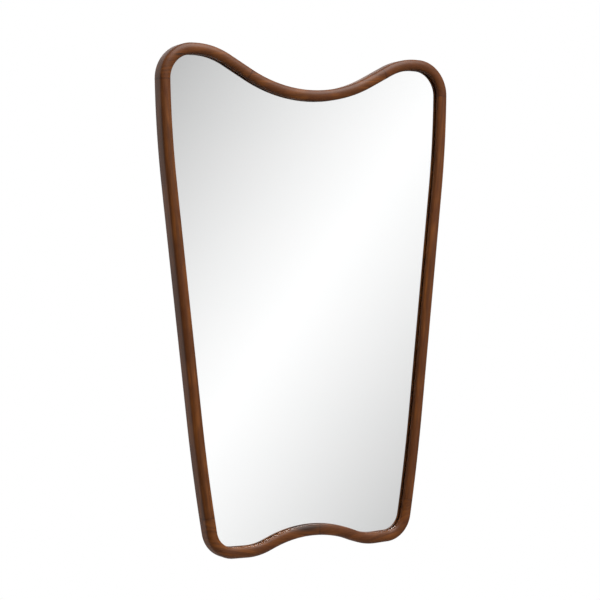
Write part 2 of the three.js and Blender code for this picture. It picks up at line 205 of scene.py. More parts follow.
def linear(hex_colour):
    channels = [int(hex_colour[start:start + 2], 16) / 255 for start in (1, 3, 5)]
    return [c / 12.92 if c <= 0.04045 else ((c + 0.055) / 1.055) ** 2.4 for c in channels] + [1.0]


def add_node(tree, kind, sockets=None, **settings):
    node = tree.nodes.new(kind)
    for name, value in settings.items():
        setattr(node, name, value)
    for socket, value in (sockets or {}).items():
        if isinstance(value, bpy.types.NodeSocket):
            tree.links.new(value, node.inputs[socket])
        else:
            node.inputs[socket].default_value = value
    return node


def blend(tree, share, first, second):
    """Mix two colours by a share from 0 to 1. A colour is a hex value or a socket."""
    pair = [linear(colour) if isinstance(colour, str) else colour for colour in (first, second)]
    sockets = {0: share, 6: pair[0], 7: pair[1]}  # a Mix node's factor and its two colours
    return add_node(tree, "ShaderNodeMix", sockets, data_type="RGBA").outputs[2]


def remap(tree, value, start, end, low=0.0, high=1.0):
    """Turn the range from start to end into the one from low to high, and hold it at its ends."""
    sockets = {0: value, 1: start, 2: end, 3: low, 4: high}
    return add_node(tree, "ShaderNodeMapRange", sockets).outputs[0]


def reckon(tree, operation, *values):
    """One step of arithmetic, on numbers or sockets."""
    sockets = dict(enumerate(values))
    return add_node(tree, "ShaderNodeMath", sockets, operation=operation).outputs[0]


def spots(tree, place, size, **sockets):
    """Noise whose spots have about this size."""
    noise = {"Vector": place, "Scale": 1 / size, **sockets}
    return add_node(tree, "ShaderNodeTexNoise", noise).outputs["Fac"]


def bumps(tree, height, strength, depth):
    sockets = {"Height": height, "Strength": strength, "Distance": depth}
    return add_node(tree, "ShaderNodeBump", sockets).outputs["Normal"]


def new_finish(name):
    """An empty material, with its node tree and the place on the object in metres."""
    material = bpy.data.materials.new(name)
    material.use_nodes = True
    tree = material.node_tree
    tree.nodes.clear()
    return material, tree, add_node(tree, "ShaderNodeTexCoord").outputs["Object"]


def close_finish(material, sockets):
    """End a material's tree with a Principled shader that has these sockets."""
    tree = material.node_tree
    shader = add_node(tree, "ShaderNodeBsdfPrincipled", sockets)
    add_node(tree, "ShaderNodeOutputMaterial", {"Surface": shader.outputs["BSDF"]})
    print("Mixed", material.name, "from", len(tree.nodes), "nodes")


def coat(thing, material):
    """Take an object's materials off and give it this one."""
    thing.data.materials.clear()
    thing.data.materials.append(material)


# %% [markdown]
# ## The frame's wood: what it is
#
# The frame is seven lengths of one moulding, sawn from boards and glued end to end. Its outline is a
# ring of straight lines with round corners. In Blender a curve with a bevel object could carry the
# moulding's section round the ring. Here the section is carried as a joiner's router would go: it is
# extruded along each straight stretch and spun round the centre of each arc. So every arc is a true
# one, and each length ends square to the outline, where the next one starts.

# %% The frame's sizes
WIDTH = 614 * MM
HEIGHT = 915.9 * MM
RIGHT_CORNERS = {  # x as a share of the width, z as a share of the height, and the corner's radius
    "hump": (0.3257, 0.5, 140 * MM),
    "corner": (0.5, 0.4978, 65 * MM),
    "shoulder": (0.4951, 0.3253, 1950 * MM),
    "hip": (0.3844, -0.3352, 3500 * MM),
    "foot": (0.3436, -0.4967, 55 * MM),
    "lobe": (0.1857, -0.5, 120 * MM),
}
DIP = (0, 0.3854, 265 * MM)
ARCH = (0, -0.452, 220 * MM)

FACE_WIDTH = 20.5 * MM
LIP_WIDTH = 7 * MM
LIP_DEPTH = 9.5 * MM
FRAME_DEPTH = 27 * MM
FRONT_CROWN = 16 * MM
FRONT_ROUNDING = 5 * MM
BACK_ROUNDING = 1.5 * MM
LEDGE_WIDTH = FACE_WIDTH - LIP_WIDTH

SEAM_GAP = 0.12 * MM
LEFT_TOP_SEAM = 128 * MM
RIGHT_TOP_SEAM = 166 * MM
FOOT_SEAM_RISE = 29 * MM
ARCH_SEAM_OFFSET = 12 * MM

CHORD_ERROR = 0.01 * MM  # how far a flat face may lie inside the arc that it stands for
print("The wood is", FACE_WIDTH / MM, "mm wide and", FRAME_DEPTH / MM, "mm deep")

# %% [markdown]
# ## The outline as lines and arcs
#
# A ring of sharp corners is the simplest drawing of the outline: only their places and their radii
# are given. Each corner is then rounded by an arc that touches both of its sides, and what is left
# between two arcs is a straight line. The left side mirrors the right one. A distance along this
# outline later says where a length of wood begins and ends.

# %% Round the corners of a ring
Span = namedtuple("Span", "start heading bend length")


def unit(heading):
    """The direction of a heading, as a vector of length 1."""
    return Vector((math.cos(heading), math.sin(heading)))


def ring_spans(corners):
    """The round and straight spans of a ring of (x, z, radius) corners, clockwise from the front.
    Where two arcs are too big for the side that they share, both are made smaller."""
    count = len(corners)
    places = [Vector(corner[:2]) for corner in corners]
    sides = [places[(i + 1) % count] - places[i] for i in range(count)]
    headings = [math.atan2(side.y, side.x) for side in sides]
    turns = [math.remainder(headings[i] - headings[i - 1], math.tau) for i in range(count)]
    wanted = [corners[i][2] * math.tan(abs(turns[i]) / 2) for i in range(count)]
    room = [min(1, sides[i].length / (wanted[i] + wanted[(i + 1) % count])) for i in range(count)]
    scales = [min(room[i - 1], room[i]) for i in range(count)]
    tangents = [wanted[i] * scales[i] for i in range(count)]
    spans = []
    for i in range(count):
        radius = corners[i][2] * scales[i]
        start = places[i] - tangents[i] * sides[i - 1].normalized()
        bend = math.copysign(1 / radius, turns[i])
        spans.append(Span(start, headings[i - 1], bend, radius * abs(turns[i])))
        start = places[i] + tangents[i] * sides[i].normalized()
        straight = sides[i].length - tangents[i] - tangents[(i + 1) % count]
        spans.append(Span(start, headings[i], 0, straight))
    return spans


def go_along(span, distance):
    """The place and the heading at a distance along one span."""
    heading = span.heading + span.bend * distance
    if span.bend == 0:
        return span.start + distance * unit(heading), heading
    across = math.sin(heading) - math.sin(span.heading)
    up = math.cos(span.heading) - math.cos(heading)
    return span.start + Vector((across, up)) / span.bend, heading


def stretch(spans, start, end):
    """The parts of a ring's spans between two distances from the middle of its first arc."""
    round_length = sum(span.length for span in spans)
    parts = []
    for lap in (-round_length, 0, round_length):
        passed = lap - spans[0].length / 2
        for span in spans:
            first = max(start, passed)
            last = min(end, passed + span.length)
            if last - first > NEAR:
                place, heading = go_along(span, first - passed)
                parts.append(Span(place, heading, span.bend, last - first))
            passed += span.length
    return parts


def full_size(corner):
    x, z, radius = corner
    return x * WIDTH, z * HEIGHT, radius


right_corners = [full_size(corner) for corner in RIGHT_CORNERS.values()]
left_corners = [(-x, z, radius) for x, z, radius in reversed(right_corners)]
outline = ring_spans([full_size(DIP), *right_corners, full_size(ARCH), *left_corners])
outline_length = sum(span.length for span in outline)
print("The outline is", round(outline_length / MM), "mm long, in", len(outline), "spans")

# %% [markdown]
# ## Where the lengths meet
#
# The seams are where the photograph shows them. Only the one above the right foot can't be seen,
# so it is placed like the left one. Both stiles begin where the upper corners' arcs end, and stop a
# little above the arcs of the feet. The seams of the top rail and of the arch aren't symmetrical.
# Each length is a pair of distances along the outline, clockwise from the middle of the dip.

# %% Where each length of wood begins and ends
arc_ends = {}
passed = -outline[0].length / 2
for name, span in zip(["dip", *RIGHT_CORNERS, "arch"], outline[::2]):
    arc_ends[name] = (passed, passed + span.length)
    passed += span.length + outline[2 * len(arc_ends) - 1].length

stile_top = arc_ends["corner"][1]
stile_foot = arc_ends["foot"][0] - FOOT_SEAM_RISE
arch_seam = sum(arc_ends["arch"]) / 2 - ARCH_SEAM_OFFSET
LENGTHS = {
    "top_rail": (-LEFT_TOP_SEAM, RIGHT_TOP_SEAM),
    "top_right_corner": (RIGHT_TOP_SEAM, stile_top),
    "right_stile": (stile_top, stile_foot),
    "bottom_right_corner": (stile_foot, arch_seam),
    "bottom_left_corner": (arch_seam, outline_length - stile_foot),
    "left_stile": (outline_length - stile_foot, outline_length - stile_top),
    "top_left_corner": (outline_length - stile_top, outline_length - LEFT_TOP_SEAM),
}
for name, (start, end) in LENGTHS.items():
    print(name, round((end - start) / MM), "mm")

# %% [markdown]
# ## The moulding's section
#
# The section is drawn flat, with X as the depth behind the front and Y as the way outwards. The front
# is crowned: its middle has one wide radius, which runs on into a tighter rounding at each edge. At
# the back, a rebate is cut away for the glass. The line is drawn as with a pen. A single vertex is
# extruded along each straight line and spun along each arc, and the closed line is then filled. Bevels
# on a rectangle's corners would be quicker, but they can't make an arc that runs on into another.

# %% Draw the section
crown_tilt = math.asin((FACE_WIDTH / 2 - FRONT_ROUNDING) / (FRONT_CROWN - FRONT_ROUNDING))
edge_depth = FRONT_CROWN - (FRONT_CROWN - FRONT_ROUNDING) * math.cos(crown_tilt)
quarter = math.pi / 2
EDGE_STEPS = 8
CROWN_STEPS = 10
BACK_STEPS = 4

bpy.ops.object.select_all(action="DESELECT")
bpy.ops.mesh.primitive_plane_add(size=MM)
section = bpy.context.object
pick(section)
bpy.ops.object.mode_set(mode="EDIT")
bpy.ops.mesh.select_all(action="SELECT")
bpy.ops.mesh.merge(type="CENTER")
bpy.ops.transform.translate(value=(LIP_DEPTH, -LEDGE_WIDTH, 0))


def draw_line(x, y):
    """Draw on from the line's end, by a distance along X and along Y."""
    bpy.ops.mesh.extrude_region_move(TRANSFORM_OT_translate={"value": (x, y, 0)})


def draw_arc(x, y, angle, steps):
    """Draw on from the line's end, round a centre."""
    bpy.ops.mesh.spin(steps=steps, angle=angle, center=(x, y, 0), axis=(0, 0, 1))


draw_line(0, -LIP_WIDTH)
draw_line(edge_depth - LIP_DEPTH, 0)
draw_arc(edge_depth, FRONT_ROUNDING - FACE_WIDTH, quarter - crown_tilt, EDGE_STEPS)
draw_arc(FRONT_CROWN, -FACE_WIDTH / 2, 2 * crown_tilt, CROWN_STEPS)
draw_arc(edge_depth, -FRONT_ROUNDING, quarter - crown_tilt, EDGE_STEPS)
draw_line(FRAME_DEPTH - BACK_ROUNDING - edge_depth, 0)
draw_arc(FRAME_DEPTH - BACK_ROUNDING, -BACK_ROUNDING, quarter, BACK_STEPS)
draw_line(0, BACK_ROUNDING - LEDGE_WIDTH)
draw_line(LIP_DEPTH - FRAME_DEPTH, 0)
merge_doubles()
bpy.ops.mesh.edge_face_add()
bpy.ops.object.mode_set(mode="OBJECT")
print("The section is one face with", len(section.data.vertices), "corners")

# %% [markdown]
# ## Sweep the section along the outline
#
# A copy of the section is set square to the outline where a length of wood starts. Extrude carries it
# along a straight part. Spin carries it round an arc, in as many steps as keep the flat faces close
# to the true arc. Both leave the newest face selected, so the parts follow each other without any
# more selecting.

# %% Sweep
WIDEST_STEP = math.radians(9)
SMOOTH_UP_TO = math.radians(25)  # edges that are sharper than this stay sharp


def sweep(flat, parts, name):
    """Carry a copy of a flat section along the parts of a ring."""
    piece = copy_of(flat, name)
    start, heading = parts[0].start, parts[0].heading
    square_on = Matrix((
        (0, -math.sin(heading), math.cos(heading), start.x),
        (1, 0, 0, 0),
        (0, math.cos(heading), math.sin(heading), start.y),
        (0, 0, 0, 1),
    ))
    piece.data.transform(square_on)
    choose(piece, "FACE", lambda place: True)
    for part in parts:
        ahead = Vector((math.cos(part.heading), 0, math.sin(part.heading)))
        if part.bend == 0:
            move = {"value": ahead * part.length}
            bpy.ops.mesh.extrude_region_move(TRANSFORM_OT_translate=move)
            continue
        outward = Vector((-ahead.z, 0, ahead.x))
        centre = Vector((part.start.x, 0, part.start.y)) + outward / part.bend
        turn = part.bend * part.length
        finest = 2 * math.acos(1 - CHORD_ERROR * abs(part.bend))
        steps = math.ceil(abs(turn) / min(finest, WIDEST_STEP))
        bpy.ops.mesh.spin(steps=steps, angle=turn, center=centre, axis=(0, 1, 0))
    finish_edit(piece, SMOOTH_UP_TO)
    return piece


FRONT_Y = cad_low.y
MIDDLE_Z = -0.025 * MM  # the CAD box's middle is a hair above the outline's own middle

wood = {}
for name, (start, end) in LENGTHS.items():
    parts = stretch(outline, start + SEAM_GAP / 2, end - SEAM_GAP / 2)
    piece = sweep(section, parts, name + "_moulding")
    piece.data.transform(Matrix.Translation((0, FRONT_Y, MIDDLE_Z)))
    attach(piece, "root")
    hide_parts(name)
    wood[name] = piece
    low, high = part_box(name)
    own = [Vector(corner) for corner in piece.bound_box]
    off = max((own[0] - low).length, (own[6] - high).length)
    print(name, len(piece.data.polygons), "faces, within", round(off / MM, 2), "mm of the CAD box")
bpy.data.objects.remove(section)

# %% [markdown]
# ## The board that each length was sawn from
#
# Wood grain runs straight through the board, and the saw then cuts the curved length out of it. So
# the grain doesn't follow the curve: it runs along the line between the length's two ends. Each
# vertex gets its place in its own board, in metres, as an attribute: along the grain, across it and
# through the board. The boards are set far apart in the pattern, so that no two look alike. A second
# attribute holds the distance to the nearest glued seam, where the stain soaks in a little deeper.
# A third holds how light the whole board came out, because no two boards take a stain alike.

# %% Give each length its board
BOARD_SPACING = 610 * MM
SEAM_REACH = 60 * MM
BOARD_TONES = {  # above 0 is lighter than the average board, below 0 is darker
    "top_rail": 0.03,
    "top_right_corner": -0.11,
    "right_stile": -0.015,
    "bottom_right_corner": -0.03,
    "bottom_left_corner": 0.07,
    "left_stile": 0.0,
    "top_left_corner": -0.06,
}

for number, (name, piece) in enumerate(wood.items()):
    ends = [stretch(outline, edge, edge + MM)[0] for edge in LENGTHS[name]]
    grain = (ends[1].start - ends[0].start).normalized()
    across = Vector((-grain.y, grain.x))
    middle = (ends[0].start + ends[1].start) / 2
    own_part = BOARD_SPACING * number
    board, seam = [], []
    for vertex in piece.data.vertices:
        flat = Vector((vertex.co.x, vertex.co.z))
        from_middle = flat - middle
        board += [
            from_middle.dot(grain) + own_part,
            from_middle.dot(across) + own_part,
            vertex.co.y,
        ]
        nearest = SEAM_REACH
        for there in ends:
            from_end = flat - there.start
            if from_end.length < SEAM_REACH:
                nearest = min(nearest, abs(from_end.dot(unit(there.heading))))
        seam.append(nearest)
    attributes = {
        "board": ("FLOAT_VECTOR", "vector", board),
        "seam": ("FLOAT", "value", seam),
        "tone": ("FLOAT", "value", [BOARD_TONES[name]] * len(seam)),
    }
    for label, (kind, field, values) in attributes.items():
        piece.data.attributes.new(label, kind, "POINT").data.foreach_set(field, values)
print("Boards given to", len(wood), "lengths")

# %% [markdown]
# ## Walnut-stained hardwood under satin lacquer
#
# The stain is a reddish walnut brown. It soaks unevenly into the wood: broad cloudy patches a few
# centimetres long, growth bands some 7 mm apart, and fine fibres that show as thin streaks. The satin
# lacquer over it is thin: it hardly mirrors anything from the front, and shines softly where the
# eye meets it at a low angle. Noise stretched along the board gives the bands and the fibres. Two
# dark marks are painted on: a dark streak of heartwood on the arch, and a short line of painted shade
# on the left hump, where the dark inner wall shows near the corner. Each is an ellipse that is soft
# at its edge.

# %% Stain and lacquer the frame
SEAM_SOAK = 2.5 * MM  # how far from a glued seam the stain is darker
LACQUER_ROUGHNESS = (0.36, 0.48)
Mark = namedtuple("Mark", "x z half_length half_width tilt strength")
STREAK_AND_SHADE_MARKS = [  # in millimetres and degrees
    Mark(-12, -414, 46, 9.5, 0, 0.85),
    # painted shade: a short dark line on the left hump, where the dark inner wall shows near the
    # corner
    Mark(-270, 434.6, 13, 2.2, -6, 0.85),
]
MARK_CORE = 0.3  # the share of a mark's ellipse that is evenly dark


def grain_noise(tree, place, along, across, **sockets):
    """Noise whose spots are so many millimetres long and wide."""
    scale = (1 / (along * MM), 1 / (across * MM), 1 / (across * MM))
    stretched = add_node(tree, "ShaderNodeMapping", {"Vector": place, "Scale": scale})
    return spots(tree, stretched.outputs["Vector"], 1.0, **sockets)


walnut, tree, place = new_finish("walnut_stained_hardwood_satin_lacquer")
board = add_node(tree, "ShaderNodeAttribute", attribute_name="board").outputs["Vector"]
seam = add_node(tree, "ShaderNodeAttribute", attribute_name="seam").outputs["Fac"]
tone = add_node(tree, "ShaderNodeAttribute", attribute_name="tone").outputs["Fac"]

patches = grain_noise(tree, board, 55, 26, Detail=2.0)
bands = grain_noise(tree, board, 150, 7, Detail=3.0, Distortion=0.6)
fibres = grain_noise(tree, board, 30, 0.9, Detail=4.0, Roughness=0.6)
pores = grain_noise(tree, board, 5, 0.45, Detail=1.0)

patch_share = remap(tree, reckon(tree, "ADD", patches, tone), 0.36, 0.64)
band_share = remap(tree, bands, 0.35, 0.66)
fibre_share = remap(tree, fibres, 0.3, 0.7, 0.0, 0.36)
pore_share = remap(tree, pores, 0.66, 0.74, 0.0, 0.5)
seam_share = remap(tree, seam, 0.0, SEAM_SOAK, 0.45, 0.0)

stain = blend(tree, patch_share, "#5a2c12", "#82491a")
stain = blend(tree, band_share, "#4c250e", stain)
stain = blend(tree, fibre_share, stain, "#8a5624")
stain = blend(tree, pore_share, stain, "#2e1409")
stain = blend(tree, seam_share, stain, "#30160b")

# Darken the stain under the streak on the arch and under the painted shade line on the left hump.
streak_and_shade = 0.0
for mark in STREAK_AND_SHADE_MARKS:
    inside = add_node(tree, "ShaderNodeMapping", {
        "Vector": place,
        "Location": (mark.x * MM, 0, mark.z * MM),
        "Rotation": (0, math.radians(mark.tilt), 0),
        "Scale": (mark.half_length * MM, 1, mark.half_width * MM),
    }, vector_type="TEXTURE").outputs[0]
    reach = add_node(tree, "ShaderNodeVectorMath", {0: inside}, operation="LENGTH")
    depth = remap(tree, reach.outputs["Value"], 1.0, MARK_CORE, 0.0, mark.strength)
    streak_and_shade = reckon(tree, "MAXIMUM", streak_and_shade, depth)
stain = blend(tree, streak_and_shade, stain, "#2b1d15")

close_finish(walnut, {
    "Base Color": stain,
    "Roughness": remap(tree, fibres, 0.0, 1.0, *LACQUER_ROUGHNESS),
    "Specular IOR Level": 0.27,
    "Normal": bumps(tree, fibres, 0.08, 0.03 * MM),
})
for piece in wood.values():
    coat(piece, walnut)

# %% [markdown]
# ## The mirror
#
# A mirror is a pane of float glass with silver on its back. So there is clear glass between the edge
# of the wood and the silver, and where the eye looks in under the wood at a slant, it sees a dark
# line between the wood and its reflection. A refracting pane would show that, but it also scatters
# the light into noise. Here the pane is clear and doesn't refract. The silver is put where it seems
# to be to the eye, which is nearer than it is by the glass's refraction. Both are copies of the
# CAD sheet whose back or front is moved.

# %% Split the sheet into glass and silver
GLASS_THICKNESS = 4 * MM
GLASS_REFRACTION = 1.5
SILVER_DEPTH = GLASS_THICKNESS / GLASS_REFRACTION
HAIR = 0.02 * MM

glass_low, glass_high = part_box("mirror_glass")
glass_middle = (glass_low.y + glass_high.y) / 2


def glass_layer(name, move_back, move_front):
    """A copy of the CAD sheet, with its back and its front moved."""
    layer = copy_of(frame["nodes"]["mirror_glass"], name)
    for key in list(layer.keys()):
        del layer[key]
    layer.parent = None
    choose(layer, "VERT", lambda place: place.y > glass_middle)
    bpy.ops.transform.translate(value=(0, move_back, 0))
    choose(layer, "VERT", lambda place: place.y < glass_middle)
    bpy.ops.transform.translate(value=(0, move_front, 0))
    finish_edit(layer, SMOOTH_UP_TO)
    # The CAD mesh brings normals of its own, which no longer fit once a side has moved.
    bpy.ops.mesh.customdata_custom_splitnormals_clear()
    bpy.ops.object.shade_flat()
    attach(layer, "root")
    return layer


pane = glass_layer("mirror_clear_pane", SILVER_DEPTH - HAIR - GLASS_THICKNESS, 0)
silver = glass_layer("mirror_silver_coat", 0, SILVER_DEPTH)
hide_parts("mirror_glass")
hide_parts("mirror_glass")
print("The silver lies", round(SILVER_DEPTH / MM, 2), "mm behind the glass's front")

# %% [markdown]
# ## Silver and clear glass
#
# The silver is a very smooth metal. Iron in the glass over it takes away a little red, which gives
# the mirror's darker parts their faint green-blue. A wiped pane is never quite clean, so the gloss
# changes a little in long slanting smears.

# %% Silver the glass
SMEAR_LENGTH = 400 * MM
SMEAR_WIDTH = 90 * MM
SMEAR_TILT = math.radians(35)

silvered, tree, place = new_finish("silvered_float_glass")
wiped = add_node(tree, "ShaderNodeMapping", {
    "Vector": place,
    "Rotation": (0, SMEAR_TILT, 0),
    "Scale": (1 / SMEAR_LENGTH, 1 / SMEAR_LENGTH, 1 / SMEAR_WIDTH),
})
haze = spots(tree, wiped.outputs["Vector"], 1.0)
close_finish(silvered, {
    "Base Color": blend(tree, haze, "#fdfefe", "#ffffff"),
    "Metallic": 1.0,
    "Roughness": remap(tree, haze, 0.0, 1.0, 0.012, 0.028),
})
coat(silver, silvered)

clear, tree, place = new_finish("clear_float_glass")
iron = spots(tree, place, 80 * MM)
close_finish(clear, {
    "Base Color": blend(tree, iron, "#16302a", "#1d3b33"),
    "Roughness": 0.02,
    "Alpha": 0.01,
})
coat(pane, clear)

# %% [markdown]
# ## The foam and the board behind the mirror
#
# The foam between the glass and the board is white and full of small bubbles. The board is
# fibreboard with a coat of black paint, through which its fibres still show. Both are flat sheets
# whose CAD meshes are right as they are, so they only get a finish.

# %% Foam and black fibreboard
foam, tree, place = new_finish("white_polyethylene_foam")
cells = add_node(tree, "ShaderNodeTexVoronoi", {"Vector": place, "Scale": 1 / (1.2 * MM)})
bubbles = cells.outputs["Distance"]
close_finish(foam, {
    "Base Color": blend(tree, bubbles, "#dfdfd9", "#f2f2ee"),
    "Roughness": 0.9,
    "Normal": bumps(tree, bubbles, 0.4, 0.2 * MM),
})
coat(frame["nodes"]["foam_sheet"], foam)

fibreboard, tree, place = new_finish("black_painted_fibreboard")
fluff = spots(tree, place, 2.5 * MM, Detail=6.0, Roughness=0.7, Distortion=1.2)
clouds = spots(tree, place, 90 * MM, Detail=3.0)
worn = blend(tree, clouds, "#2b2825", "#403b36")
flecked = remap(tree, fluff, 0.55, 0.75, 0.0, 0.5)
close_finish(fibreboard, {
    "Base Color": blend(tree, flecked, worn, "#574f45"),
    "Roughness": 0.8,
    "Specular IOR Level": 0.3,
    "Normal": bumps(tree, fluff, 0.35, 0.1 * MM),
})
coat(frame["nodes"]["backing_board"], fibreboard)

# %% [markdown]
# ## The hidden tenons
#
# A loose tenon of compressed beech bridges each glued seam. It is hidden in its mortises, so its CAD
# mesh is enough, with the pale pinkish wood and the short flecks of beech.

# %% Beech for the tenons
beech, tree, place = new_finish("compressed_beech")
flecks = remap(tree, grain_noise(tree, place, 3, 0.6, Detail=2.0), 0.5, 0.7)
close_finish(beech, {
    "Base Color": blend(tree, flecks, "#cfa67a", "#a97a4d"),
    "Roughness": 0.7,
})
tenons = [name for name in frame["nodes"] if name.endswith("_tenon")]
for name in tenons:
    coat(frame["nodes"][name], beech)
print("Dressed", len(tenons), "tenons")

# %% [markdown]
# ## Zinc-plated steel
#
# All the hardware on the back is bright zinc-plated steel. The plating is a metal that is a little
# blotchy: patches of cooler and warmer grey a few millimetres wide, and a satin roughness.

# %% Plate the steel
zinc, tree, place = new_finish("zinc_plated_steel")
blotches = spots(tree, place, 6 * MM, Detail=3.0)
scuffs = spots(tree, place, 0.7 * MM, Detail=2.0)
close_finish(zinc, {
    "Base Color": blend(tree, blotches, "#8d9093", "#aca798"),
    "Metallic": 1.0,
    "Roughness": remap(tree, scuffs, 0.0, 1.0, 0.24, 0.42),
})

# %% [markdown]
# ## Place copies of one model
#
# Each kind of hardware is modelled once, at the origin, with X across, Y down and Z out of the wood.
# A copy with its own mesh then goes to each place where the CAD model has one. The turn by a quarter
# about X brings Z to the wall side. The place goes into the mesh, so the object stays at the origin.

# %% Copy a model to a CAD node
TO_THE_WALL = Matrix.Rotation(math.radians(-90), 4, "X")
BACK_Y = cad_low.y + FRAME_DEPTH  # the flat back of the wood and of the board


def put(model, node, body, place, turn, ending):
    """Copy a model to its place at the back, where it stands in for a CAD node."""
    piece = copy_of(model, node + ending)
    piece.data.transform(Matrix.Translation(place) @ TO_THE_WALL @ Matrix.Rotation(turn, 4, "Z"))
    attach(piece, body)
    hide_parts(node)


print("The back of the wood is at Y =", round(BACK_Y / MM, 2), "mm")

# %% [markdown]
# ## Screws
#
# Twelve small pan-head screws hold the buttons and the straps. The head starts as a short cylinder.
# Its top is inset three times and raised a little each time, which makes the low dome. Its underside
# is inset and extruded into the shank and the point. A cross recess is then cut with two tapered
# blades.

# %% Model one screw
SCREW_RADIUS = 1.5 * MM
SCREW_LENGTH = 14 * MM
SCREW_TIP_LENGTH = 3 * MM
SCREW_TIP_SHARE = 0.08  # of the shank's radius
SCREW_HEAD_RADIUS = 3.2 * MM
SCREW_HEAD_HEIGHT = 1.9 * MM
RIM_HEIGHT = 0.9 * MM
DOME = [(0.35 * MM, 0.45 * MM), (0.7 * MM, 0.35 * MM), (1.0 * MM, 0.2 * MM)]  # inset and rise
RECESS_WIDTH = 3.4 * MM
RECESS_BLADE = 0.8 * MM
RECESS_DEPTH = 1.1 * MM
RECESS_TAPER = (0.45, 0.7, 1)

bpy.ops.object.select_all(action="DESELECT")
bpy.ops.mesh.primitive_cylinder_add(
    vertices=32, radius=SCREW_HEAD_RADIUS, depth=RIM_HEIGHT, location=(0, 0, RIM_HEIGHT / 2))
screw = bpy.context.object
bpy.ops.object.transform_apply()
choose(screw, "FACE", lambda place: place.z > RIM_HEIGHT - NEAR)
for inset, rise in DOME:
    bpy.ops.mesh.inset(thickness=inset)
    bpy.ops.transform.translate(value=(0, 0, rise))
choose(screw, "FACE", lambda place: place.z < NEAR)
bpy.ops.mesh.inset(thickness=SCREW_HEAD_RADIUS - SCREW_RADIUS)
for length in (SCREW_LENGTH - SCREW_TIP_LENGTH, SCREW_TIP_LENGTH):
    bpy.ops.mesh.extrude_region_move(TRANSFORM_OT_translate={"value": (0, 0, -length)})
bpy.ops.transform.resize(value=(SCREW_TIP_SHARE, SCREW_TIP_SHARE, 1))
bpy.ops.object.mode_set(mode="OBJECT")

for turn in (0, 90):
    bpy.ops.object.select_all(action="DESELECT")
    bpy.ops.mesh.primitive_cube_add(size=1, location=(0, 0, SCREW_HEAD_HEIGHT))
    blade = bpy.context.object
    blade.scale = (RECESS_WIDTH, RECESS_BLADE, 2 * RECESS_DEPTH)
    bpy.ops.object.transform_apply()
    choose(blade, "FACE", lambda place: place.z < SCREW_HEAD_HEIGHT - RECESS_DEPTH + NEAR)
    bpy.ops.transform.resize(value=RECESS_TAPER)
    bpy.ops.object.mode_set(mode="OBJECT")
    blade.data.transform(Matrix.Rotation(math.radians(turn), 4, "Z"))
    cut_with(screw, blade)
finish_edit(screw, smooth_angle=math.radians(35))
screw.data.materials.append(zinc)
print("The screw has", len(screw.data.polygons), "faces")

# %% [markdown]
# A screw stops turning when it is tight, at any angle. So each copy is turned further than the one
# before it. The top of the CAD screw shows how far the head stands out.

# %% Drive the screws
TURN_BETWEEN_SCREWS = math.radians(37)

screw_nodes = [name for name in frame["nodes"] if name.endswith("_screw")]
for number, name in enumerate(screw_nodes):
    low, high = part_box(name)
    under_head = Vector(((low.x + high.x) / 2, high.y - SCREW_HEAD_HEIGHT, (low.z + high.z) / 2))
    put(screw, name, "root", under_head, TURN_BETWEEN_SCREWS * number, "_pan_head")
bpy.data.objects.remove(screw)
print("Drove", len(screw_nodes), "screws")

# %% [markdown]
# ## Turn buttons
#
# Eight small steel plates, each on one screw, hold the board in the frame. Turned aside, they let the
# board out. Such a plate is stamped from strip, and a tumbler takes the sharp edge off it. It starts
# as a disc. One half of the disc's vertices is moved away, so that the disc becomes a long plate with
# round ends. Then comes the hole, and a narrow bevel for the tumbled edge.

# %% Model one turn button
BUTTON_REACH = 18 * MM
BUTTON_END_RADIUS = 5 * MM
BUTTON_THICKNESS = 1.2 * MM
HOLE_RADIUS = 1.8 * MM
TUMBLED_EDGE = 0.2 * MM


def slotted_plate(radius, thickness, move_vertex, offset):
    """A disc of which one half is moved away, so that it becomes a plate with round ends.
    46 sides put no vertex on the line between the halves, and the long edges come out parallel."""
    bpy.ops.object.select_all(action="DESELECT")
    bpy.ops.mesh.primitive_cylinder_add(
        vertices=46, radius=radius, depth=thickness, location=(0, 0, thickness / 2))
    plate = bpy.context.object
    bpy.ops.object.transform_apply()
    choose(plate, "VERT", move_vertex)
    bpy.ops.transform.translate(value=offset)
    bpy.ops.object.mode_set(mode="OBJECT")
    return plate


def drill(plate, place, radius, depth):
    bpy.ops.object.select_all(action="DESELECT")
    bpy.ops.mesh.primitive_cylinder_add(vertices=32, radius=radius, depth=depth, location=place)
    cutter = bpy.context.object
    bpy.ops.object.transform_apply()
    cut_with(plate, cutter)


button = slotted_plate(
    BUTTON_END_RADIUS, BUTTON_THICKNESS, lambda place: place.x > 0, (BUTTON_REACH, 0, 0))
drill(button, (0, 0, BUTTON_THICKNESS / 2), HOLE_RADIUS, 4 * BUTTON_THICKNESS)
apply_modifier(button, "BEVEL", width=TUMBLED_EDGE, segments=3, angle_limit=math.radians(50))
finish_edit(button, smooth_angle=math.radians(40))
button.data.materials.append(zinc)
print("The button has", len(button.data.polygons), "faces")

# %% [markdown]
# Each button turns about a joint of the CAD model, which gives the place of the hole. The middle
# of the CAD button shows which way the plate points.

# %% Put the turn buttons on their screws
button_joints = [joint for joint in frame["joints"] if joint["name"].endswith("_button_turn")]
for joint in button_joints:
    name = joint["child"]
    low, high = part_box(name)
    pivot = Vector(joint["pos_m"])
    reach = (low + high) / 2 - pivot
    turn = math.atan2(-reach.z, reach.x)
    put(button, name, name, Vector((pivot.x, low.y, pivot.z)), turn, "_plate")
bpy.data.objects.remove(button)
print("Put on", len(button_joints), "turn buttons")

# %% [markdown]
# ## Hanger straps
#
# A hanger strap is one strip of sheet steel, folded round the bar of the ring so that both layers lie
# on each other. It starts as one flat face for the lower layer. Its upper edge is spun round the bar,
# which makes the eye, and then extruded back down as the upper layer. Solidify gives the sheet its
# thickness. A long round-ended block trims the lower end, and two screw holes go through both layers.

